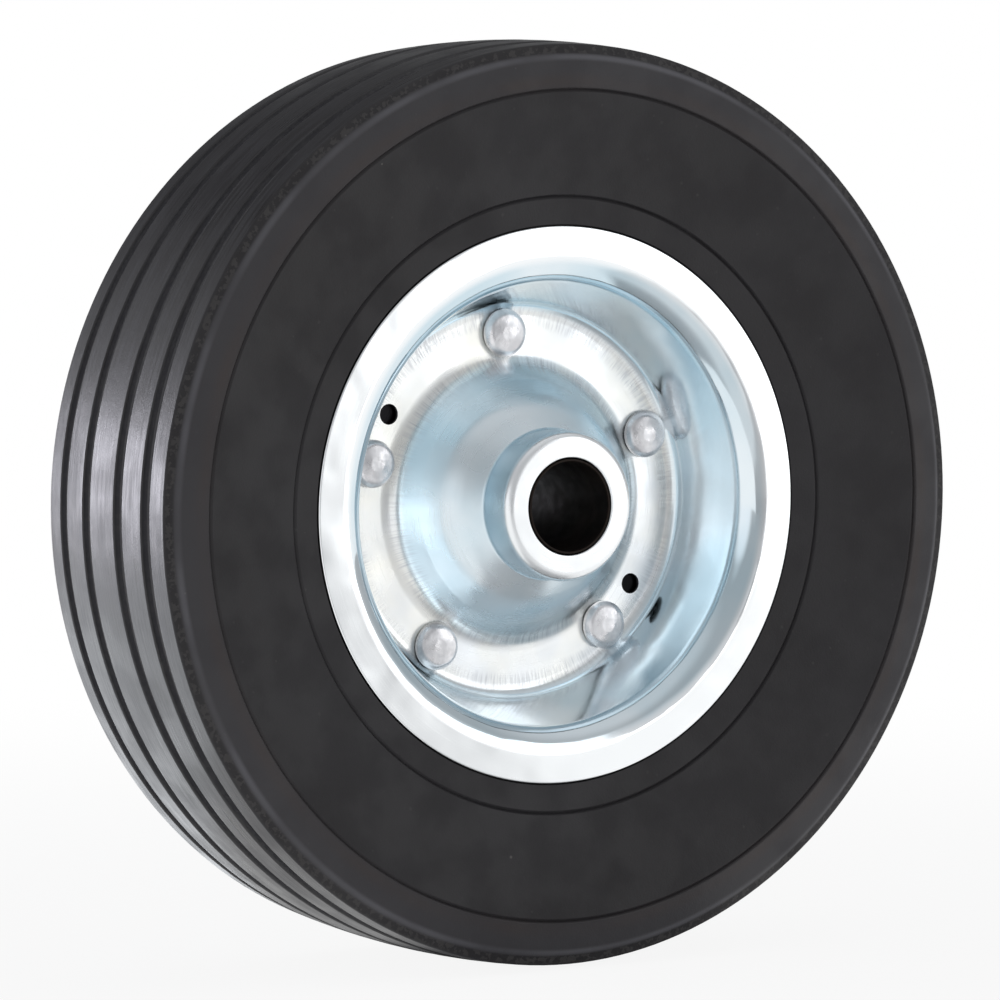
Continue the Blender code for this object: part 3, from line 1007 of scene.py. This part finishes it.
def rubber_finish(finish, tyre):
    """Moulded black rubber with a brownish shoulder, bloom, fine grain and specks of dust, a painted
    highlight on the slope beside the outer ribs and painted shade on the wall beside the last rib.
    """
    made, bench, shader = new_finish("moulded_rubber")
    axle = bench.group("round_the_axle")
    edge = tyre.tread_width / 2
    rib_edge = crown(tyre, edge)
    step_foot = rib_edge - tyre.step_depth
    line_place = tyre.radius - tyre.shoulder_drop
    outside = bench.ramp(axle["Radius"], step_foot - FINE_FADE, step_foot + FINE_FADE)
    tread = bench.times(outside, bench.ramp(axle["Depth"], edge + FINE_FADE, edge - RIB_FADE))
    crevice = bench.zone(step_foot - FINE_FADE, rib_edge - RIB_FADE, RIB_FADE)
    crevice = bench.minus(crevice, tread, clamp=True)
    ledge = bench.zone(step_foot - tyre.slope_fall - LINE_MARGIN, step_foot - LINE_MARGIN, LEDGE_FADE)
    shoulder = bench.zone(line_place + LINE_MARGIN, step_foot, SHOULDER_FADE)
    shoulder_foot = bench.zone(line_place + LINE_MARGIN, line_place + BROWN_WIDTH, BROWN_FADE)
    inner = groove_mask(bench, axle["Depth"], tyre.inner_groove, tyre.inner_groove_width)
    outer = groove_mask(bench, axle["Depth"], tyre.outer_groove, tyre.outer_groove_width)
    grooves = bench.times(bench.larger(inner, outer), tread)
    streaks = bench.pattern("rib_streaks")
    worn = bench.times(tread, bench.ramp(streaks, *STREAK_RANGE))

    flecks = bench.ramp(bench.pattern("flecks"), *FLECK_RANGE)
    gathering = bench.larger(bench.times(crevice, CREVICE_FLECKS), bench.times(grooves, GROOVE_FLECKS))
    gathered = bench.times(flecks, gathering)
    film_share = bench.times(bench.pattern("film_patches"), FILM_SHARE)
    film = bench.times(bench.pattern("film"), film_share)
    specks = bench.times(bench.pattern("specks"), SPECK_SHARE)
    dust = bench.larger(bench.larger(specks, film), gathered)

    brown = bench.times(shoulder_foot, bench.pattern("brown_bloom", *BROWN_RANGE))
    # Painted highlight on the slope beside the outer ribs, in soft patches
    bloom = bench.times(ledge, bench.pattern("ledge_highlight_patches", *LEDGE_RANGE))
    base = layered(
        bench,
        bench.mix(bench.pattern("rubber_bloom"), finish.rubber, finish.rubber_pale),
        (shoulder, finish.rubber_shoulder),
        (brown, finish.rubber_brown),
        (bloom, finish.rubber_ledge_highlight),
        (bench.times(worn, WORN_SHARE), finish.rubber_worn),
        (grooves, finish.rubber_groove),
        # Painted shade on the wall beside the last rib
        (bench.times(crevice, CREVICE_SHADE), finish.rubber),
        (dust, finish.rubber_dust),
    )
    most, least = finish.tread_polish + POLISH_SPREAD, finish.tread_polish - POLISH_SPREAD
    polish = bench.times(tread, bench.ramp(streaks, *STREAK_RANGE, most, least))
    rough = bench.minus(patchy_gloss(bench, "rubber", finish.rubber_roughness), polish)

    skin = bench.times(bench.pattern("rubber_skin"), SKIN_HEIGHT)
    moulded = bench.plus(bench.pattern("rubber_grain"), skin)
    height = bench.times(moulded, bench.ramp(tread, 0.0, 1.0, 1.0, RIB_GRAIN))
    height = bench.plus(height, bench.times(streaks, tread))
    height = bench.plus(height, bench.times(gathered, FLECK_HEIGHT))
    dress(bench, shader, base, rough, height, RUBBER_RELIEF)
    return made


def zinc_finish(finish, rim, fasteners):
    """Bright zinc plate: blue tints, slight waves, painted highlights on the flange, the hub's end and the
    rivet ring, the last in patches of a faint straw tint, bands of painted shade beside the ring streaked
    like die marks, and painted shade on the sheets' inner faces.
    """
    made, bench, shader = new_finish("bright_zinc_plate", {"Metallic": 1.0})
    depth = bench.group("round_the_axle")["Depth"]
    ring_inner, ring_outer = ring_edges(rim, fasteners)
    ring = bench.zone(ring_inner - RING_MARGIN, ring_outer - RING_MARGIN, PLATE_FADE)
    dome = bench.zone(0.0, ring_inner, DOME_FADE)
    flange = bench.zone(rim.radius - BRIGHT_FLANGE * rim.flange_width, rim.radius + rim.sheet, PLATE_FADE)
    roll = bench.zone(*(rim.radius - widths * rim.flange_width for widths in ROLL_ZONE), PLATE_FADE)
    hub_end = bench.ramp(depth, *(rim.hub_face - rounds * rim.end_round for rounds in BRIGHT_HUB))
    between = bench.ramp(depth, *(fasteners.gap / 2 + sheets * rim.sheet for sheets in HOLE_SHADE_SHEETS))

    # Painted shade in bands at the ring's outer edge and the inner fillet, streaked like die marks
    outer_band = bench.zone(*(ring_outer - inset for inset in OUTER_SHADE_BAND), PLATE_FADE)
    inner_band = bench.zone(*(ring_inner - inset for inset in INNER_SHADE_BAND), PLATE_FADE)
    patches = bench.pattern("shade_band_patches", *SHADE_BAND_RANGE)
    drawn = bench.times(bench.larger(outer_band, inner_band), patches)
    scuffs_and_shade = bench.times(drawn, bench.ramp(bench.pattern("die_marks"), *SCUFF_RANGE))
    # The ring painted lighter, a painted highlight, in patches of a faint straw tint
    ring_plate_highlight = bench.mix(bench.pattern("ring_tint"), finish.zinc_dull_highlight, finish.zinc_straw_highlight)
    base = layered(
        bench,
        bench.mix(bench.pattern("zinc_tint"), finish.zinc, finish.zinc_deep),
        (bench.times(ring, RING_HIGHLIGHT_SHARE), ring_plate_highlight),
        # Painted highlight on the flange and the hub's end
        (bench.larger(flange, hub_end), finish.zinc_highlight),
        (bench.times(scuffs_and_shade, SCUFF_SHADE_SHARE), finish.zinc_scuffs_and_shade),
        # Painted shade on the sheets' inner faces, seen through the holes
        (between, finish.zinc_hole_shade),
    )

    lines = bench.pattern("turning_lines")
    worked = bench.larger(bench.larger(scuffs_and_shade, ring), dome)
    rough = patchy_gloss(bench, "zinc", finish.zinc_roughness)
    rough = bench.plus(rough, bench.times(worked, WORKED_ROUGHNESS))
    rough = bench.minus(rough, bench.times(roll, ROLL_POLISH))
    rough = bench.plus(rough, bench.times(bench.ramp(lines, *LINE_RANGE), LINE_ROUGHNESS))

    height = bench.plus(bench.pattern("zinc_waves"), bench.times(lines, LINE_HEIGHT))
    height = bench.plus(height, bench.times(scuffs_and_shade, SCUFF_HEIGHT))
    dress(bench, shader, base, rough, height, ZINC_RELIEF)
    return made


def rivet_finish(finish):
    """Satin plate on the set heads, with marks that the set leaves."""
    made, bench, shader = new_finish("satin_rivet_plate", {"Metallic": 1.0})
    marks = bench.pattern("set_marks")
    base = bench.mix(bench.times(marks, SET_MARK_SHARE), finish.rivet, finish.rivet_dark)
    rough = patchy_gloss(bench, "rivet", finish.rivet_roughness)
    height = bench.plus(bench.times(bench.pattern("rivet_grain"), RIVET_GRAIN), marks)
    dress(bench, shader, base, rough, height, RIVET_RELIEF)
    return made


def nylon_finish(finish, rim):
    """Black nylon with a fine moulded grain, browner at the ends of the sleeve."""
    made, bench, shader = new_finish("black_nylon", {"Specular IOR Level": NYLON_SPECULAR})
    depth = bench.group("round_the_axle")["Depth"]
    tint = bench.times(bench.pattern("nylon_tint"), NYLON_TINT)
    base = layered(
        bench,
        bench.mix(tint, finish.nylon, finish.nylon_edge),
        (bench.ramp(depth, rim.hub_face - NYLON_END, rim.hub_face), finish.nylon_edge),
    )
    rough = patchy_gloss(bench, "nylon", finish.nylon_roughness)
    dress(bench, shader, base, rough, bench.pattern("nylon_grain"), NYLON_RELIEF)
    return made


class WHEEL_OT_tyre(bpy.types.Operator):
    """Make the ribbed rubber tyre"""

    bl_idname = "jockey_wheel.tyre"
    bl_label = "Rubber Tyre"
    bl_options = {"REGISTER", "UNDO"}

    def execute(self, context):
        scene = context.scene
        build_shader_groups()
        rubber = rubber_finish(scene.wheel_finish, scene.wheel_tyre)
        section = tyre_section(scene.wheel_tyre, scene.wheel_rim, scene.wheel_fasteners)
        mesh = swept("ribbed_tyre", section, TYRE_STEPS, rubber)
        finished("ribbed_tyre", mesh, rubber, "tyre_rubber", "tyre")
        return {"FINISHED"}


class WHEEL_OT_rim(bpy.types.Operator):
    """Make the two zinc-plated rim pressings"""

    bl_idname = "jockey_wheel.rim"
    bl_label = "Rim Pressings"
    bl_options = {"REGISTER", "UNDO"}

    def execute(self, context):
        scene = context.scene
        build_shader_groups()
        rim = scene.wheel_rim
        zinc = zinc_finish(scene.wheel_finish, rim, scene.wheel_fasteners)
        section = rim_section(rim, scene.wheel_fasteners)
        for side, half in ((1, "front"), (-1, "rear")):
            facing = [(x, side * y) for x, y in section]
            blank = swept(f"pressing_{half}", facing, RIM_STEPS, zinc)
            mesh = punch(blank, rim, scene.wheel_fasteners, side)
            finished(f"pressing_{half}", mesh, zinc, "plated_steel", f"rim_half_{half}")
        return {"FINISHED"}


class WHEEL_OT_rivets(bpy.types.Operator):
    """Make the ring of set rivets"""

    bl_idname = "jockey_wheel.rivets"
    bl_label = "Rivets"
    bl_options = {"REGISTER", "UNDO"}

    def execute(self, context):
        scene = context.scene
        build_shader_groups()
        fasteners = scene.wheel_fasteners
        steel = rivet_finish(scene.wheel_finish)
        single = turned("rivet", rivet_outline(scene.wheel_rim, fasteners), RIVET_STEPS)
        values = {
            "Count": fasteners.count,
            "Pitch Radius": fasteners.pitch_radius,
            "First Angle": fasteners.first_angle,
            "Seed": RIVET_SEED,
            "Finish": steel,
        }
        mesh = run_tree("set_rivets", single, rivet_ring_tree(), values)
        finished("set_rivets", mesh, steel, "rivet_steel", *RIVET_NODES)
        return {"FINISHED"}


class WHEEL_OT_sleeve(bpy.types.Operator):
    """Make the sleeve that lines the bore"""

    bl_idname = "jockey_wheel.sleeve"
    bl_label = "Axle Sleeve"
    bl_options = {"REGISTER", "UNDO"}

    def execute(self, context):
        scene = context.scene
        build_shader_groups()
        nylon = nylon_finish(scene.wheel_finish, scene.wheel_rim)
        section = sleeve_section(scene.wheel_rim, scene.wheel_fasteners)
        mesh = swept("bore_sleeve", section, SLEEVE_STEPS, nylon)
        finished("bore_sleeve", mesh, nylon, "black_nylon", "axle_sleeve")
        return {"FINISHED"}


def view_axes(azimuth, elevation):
    """Return the right, up and back directions of a view."""
    right = Vector((math.cos(azimuth), math.sin(azimuth), 0.0))
    back = outward(azimuth, elevation)
    return right, back.cross(right), back


def outward(azimuth, elevation):
    """Return a unit direction from the wheel: azimuth 0 at its front, -Y, and a quarter turn at +X."""
    flat = math.cos(elevation)
    return Vector((math.sin(azimuth) * flat, -math.cos(azimuth) * flat, math.sin(elevation)))


def soft_lamp(name, azimuth, elevation, distance, size, radiance, tint):
    """Add a rectangular lamp that faces the wheel, or lies on the floor if it is below the wheel."""
    data = bpy.data.lights.new(name, "AREA")
    data.shape = "RECTANGLE"
    data.size, data.size_y = size
    data.energy = radiance * math.pi * size[0] * size[1]
    data.color = tint
    lamp = bpy.data.objects.new(name, data)
    bpy.context.scene.collection.objects.link(lamp)
    toward = outward(math.radians(azimuth), math.radians(elevation))
    lamp.location = toward * distance
    if elevation < 0.0:
        toward = Vector((0.0, 0.0, -1.0))
    lamp.rotation_euler = toward.to_track_quat("Z", "Y").to_euler()
    lamp.visible_camera = False


class WHEEL_OT_stage(bpy.types.Operator):
    """Make the floor, the light and the camera"""

    bl_idname = "jockey_wheel.stage"
    bl_label = "Stage"
    bl_options = {"REGISTER", "UNDO"}

    def execute(self, context):
        stage = context.scene.wheel_stage
        self.make_floor(stage, context.scene.wheel_tyre.radius)
        self.make_room(context.scene, stage)
        self.make_lamps()
        self.make_camera(context.scene, stage)
        context.scene.view_settings.view_transform = "Standard"
        return {"FINISHED"}

    def make_floor(self, stage, drop):
        """Lay a pale floor under the tread: white to the camera, and to mirrored rays a glow, white to the
        sides and far off and greyer close in front, which paints light into the metal's reflections.
        """
        mesh = bpy.data.meshes.new("floor")
        shape = bmesh.new()
        bmesh.ops.create_grid(shape, x_segments=1, y_segments=1, size=stage.floor_size / 2)
        shape.to_mesh(mesh)
        shape.free()
        mesh.transform(Matrix.Translation((0.0, 0.0, -drop)))
        levels = {"Base Color": rgba(stage.floor_colour), "Roughness": 0.9, "Specular IOR Level": 0.1}
        made, bench, shader = new_finish("pale_floor", levels)
        white = bench.add("ShaderNodeEmission", {"Color": rgba(WHITE), "Strength": 1.0}).outputs["Emission"]
        place = bench.place()
        distance = bench.vector("LENGTH", {0: place})["Value"]
        across = bench.add("ShaderNodeSeparateXYZ", {"Vector": place}).outputs["X"]
        aside = bench.calc("ABSOLUTE", bench.minus(bench.calc("DIVIDE", across, distance), FLOOR_MIDDLE))
        near = bench.times(bench.ramp(distance, *FLOOR_NEAR), bench.ramp(distance, *FLOOR_FAR))
        beyond = bench.times(bench.ramp(aside, *FLOOR_ASIDE), bench.ramp(distance, *FLOOR_CONTACT))
        seen = bench.ramp(distance, stage.pool_inner, stage.pool_outer, stage.pool_white, 1.0)
        ray = bench.add("ShaderNodeLightPath").outputs
        mirrored_ray = bench.larger(ray["Is Glossy Ray"], ray["Is Transmission Ray"])
        mirrored_white = bench.times(mirrored_ray, bench.larger(beyond, near))
        share_white = bench.larger(bench.times(ray["Is Camera Ray"], seen), mirrored_white)
        blend = bench.add("ShaderNodeMixShader", {0: share_white, 1: shader.outputs["BSDF"], 2: white})
        bench.feed(made.node_tree.nodes["Material Output"].inputs["Surface"], blend.outputs["Shader"])
        mesh.materials.append(made)
        new_object("floor", mesh)

    def make_room(self, scene, stage):
        """Light the room softly: a level by height, with glows and dark corners, and white to the camera."""
        world = bpy.data.worlds.new("room")
        world.use_nodes = True
        scene.world = world
        bench = NodeBench(world.node_tree)
        direction = bench.add("ShaderNodeTexCoord").outputs["Generated"]
        height = bench.add("ShaderNodeSeparateXYZ", {"Vector": direction}).outputs["Z"]
        level = bench.ramp(height, *ROOM_HEIGHTS, stage.wall, stage.ceiling)
        for *angles, strength in ROOM_GLOWS:
            azimuth, elevation, inner, outer = map(math.radians, angles)
            toward = bench.vector("DOT_PRODUCT", {0: direction, 1: outward(azimuth, elevation)})["Value"]
            level = bench.plus(level, bench.ramp(toward, math.cos(outer), math.cos(inner), 0.0, strength))
        seen = bench.add("ShaderNodeLightPath").outputs["Is Camera Ray"]
        background = world.node_tree.nodes["Background"]
        bench.feed(background.inputs["Color"], bench.mix(seen, stage.room, WHITE))
        bench.feed(background.inputs["Strength"], bench.ramp(seen, 0.0, 1.0, level, 1.0, smooth=False))

    def make_lamps(self):
        """Hang the soft lamps."""
        for lamp in SOFT_LAMPS:
            soft_lamp(*lamp)

    def make_camera(self, scene, stage):
        """Set the camera at the photograph's viewing angle."""
        right, up, back = view_axes(stage.camera_azimuth, stage.camera_elevation)
        data = bpy.data.cameras.new("camera")
        data.sensor_width = SENSOR_WIDTH
        data.lens = stage.lens
        data.clip_start, data.clip_end = CAMERA_CLIP
        camera = bpy.data.objects.new("camera", data)
        scene.collection.objects.link(camera)
        camera.location = back * stage.camera_distance + right * stage.camera_right + up * stage.camera_up
        camera.rotation_euler = Matrix((right, up, back)).transposed().to_euler()
        scene.camera = camera


class VIEW3D_PT_jockey_wheel(bpy.types.Panel):
    """The wheel's pieces, sizes and finishes"""

    bl_label = "Jockey Wheel"
    bl_idname = "VIEW3D_PT_jockey_wheel"
    bl_space_type = "VIEW_3D"
    bl_region_type = "UI"
    bl_category = "Jockey Wheel"

    def draw(self, context):
        for operator in OPERATORS:
            self.layout.operator(operator.bl_idname)
        for name, group in PROPERTY_GROUPS.items():
            box = self.layout.box()
            box.label(text=group.__doc__)
            for key in group.__annotations__:
                box.prop(getattr(context.scene, name), key)


OPERATORS = (WHEEL_OT_tyre, WHEEL_OT_rim, WHEEL_OT_rivets, WHEEL_OT_sleeve, WHEEL_OT_stage)
CLASSES = (*PROPERTY_GROUPS.values(), *OPERATORS, VIEW3D_PT_jockey_wheel)


def register():
    """Register the classes and give every scene the wheel's settings."""
    for cls in CLASSES:
        bpy.utils.register_class(cls)
    for name, group in PROPERTY_GROUPS.items():
        setattr(bpy.types.Scene, name, bpy.props.PointerProperty(type=group))


def unregister():
    """Take the settings and the classes away again."""
    for name in PROPERTY_GROUPS:
        delattr(bpy.types.Scene, name)
    for cls in reversed(CLASSES):
        bpy.utils.unregister_class(cls)


def main():
    """Make every piece and the stage."""
    register()
    bpy.ops.jockey_wheel.tyre()
    bpy.ops.jockey_wheel.rim()
    bpy.ops.jockey_wheel.rivets()
    bpy.ops.jockey_wheel.sleeve()
    bpy.ops.jockey_wheel.stage()


if __name__ == "__main__":
    main()
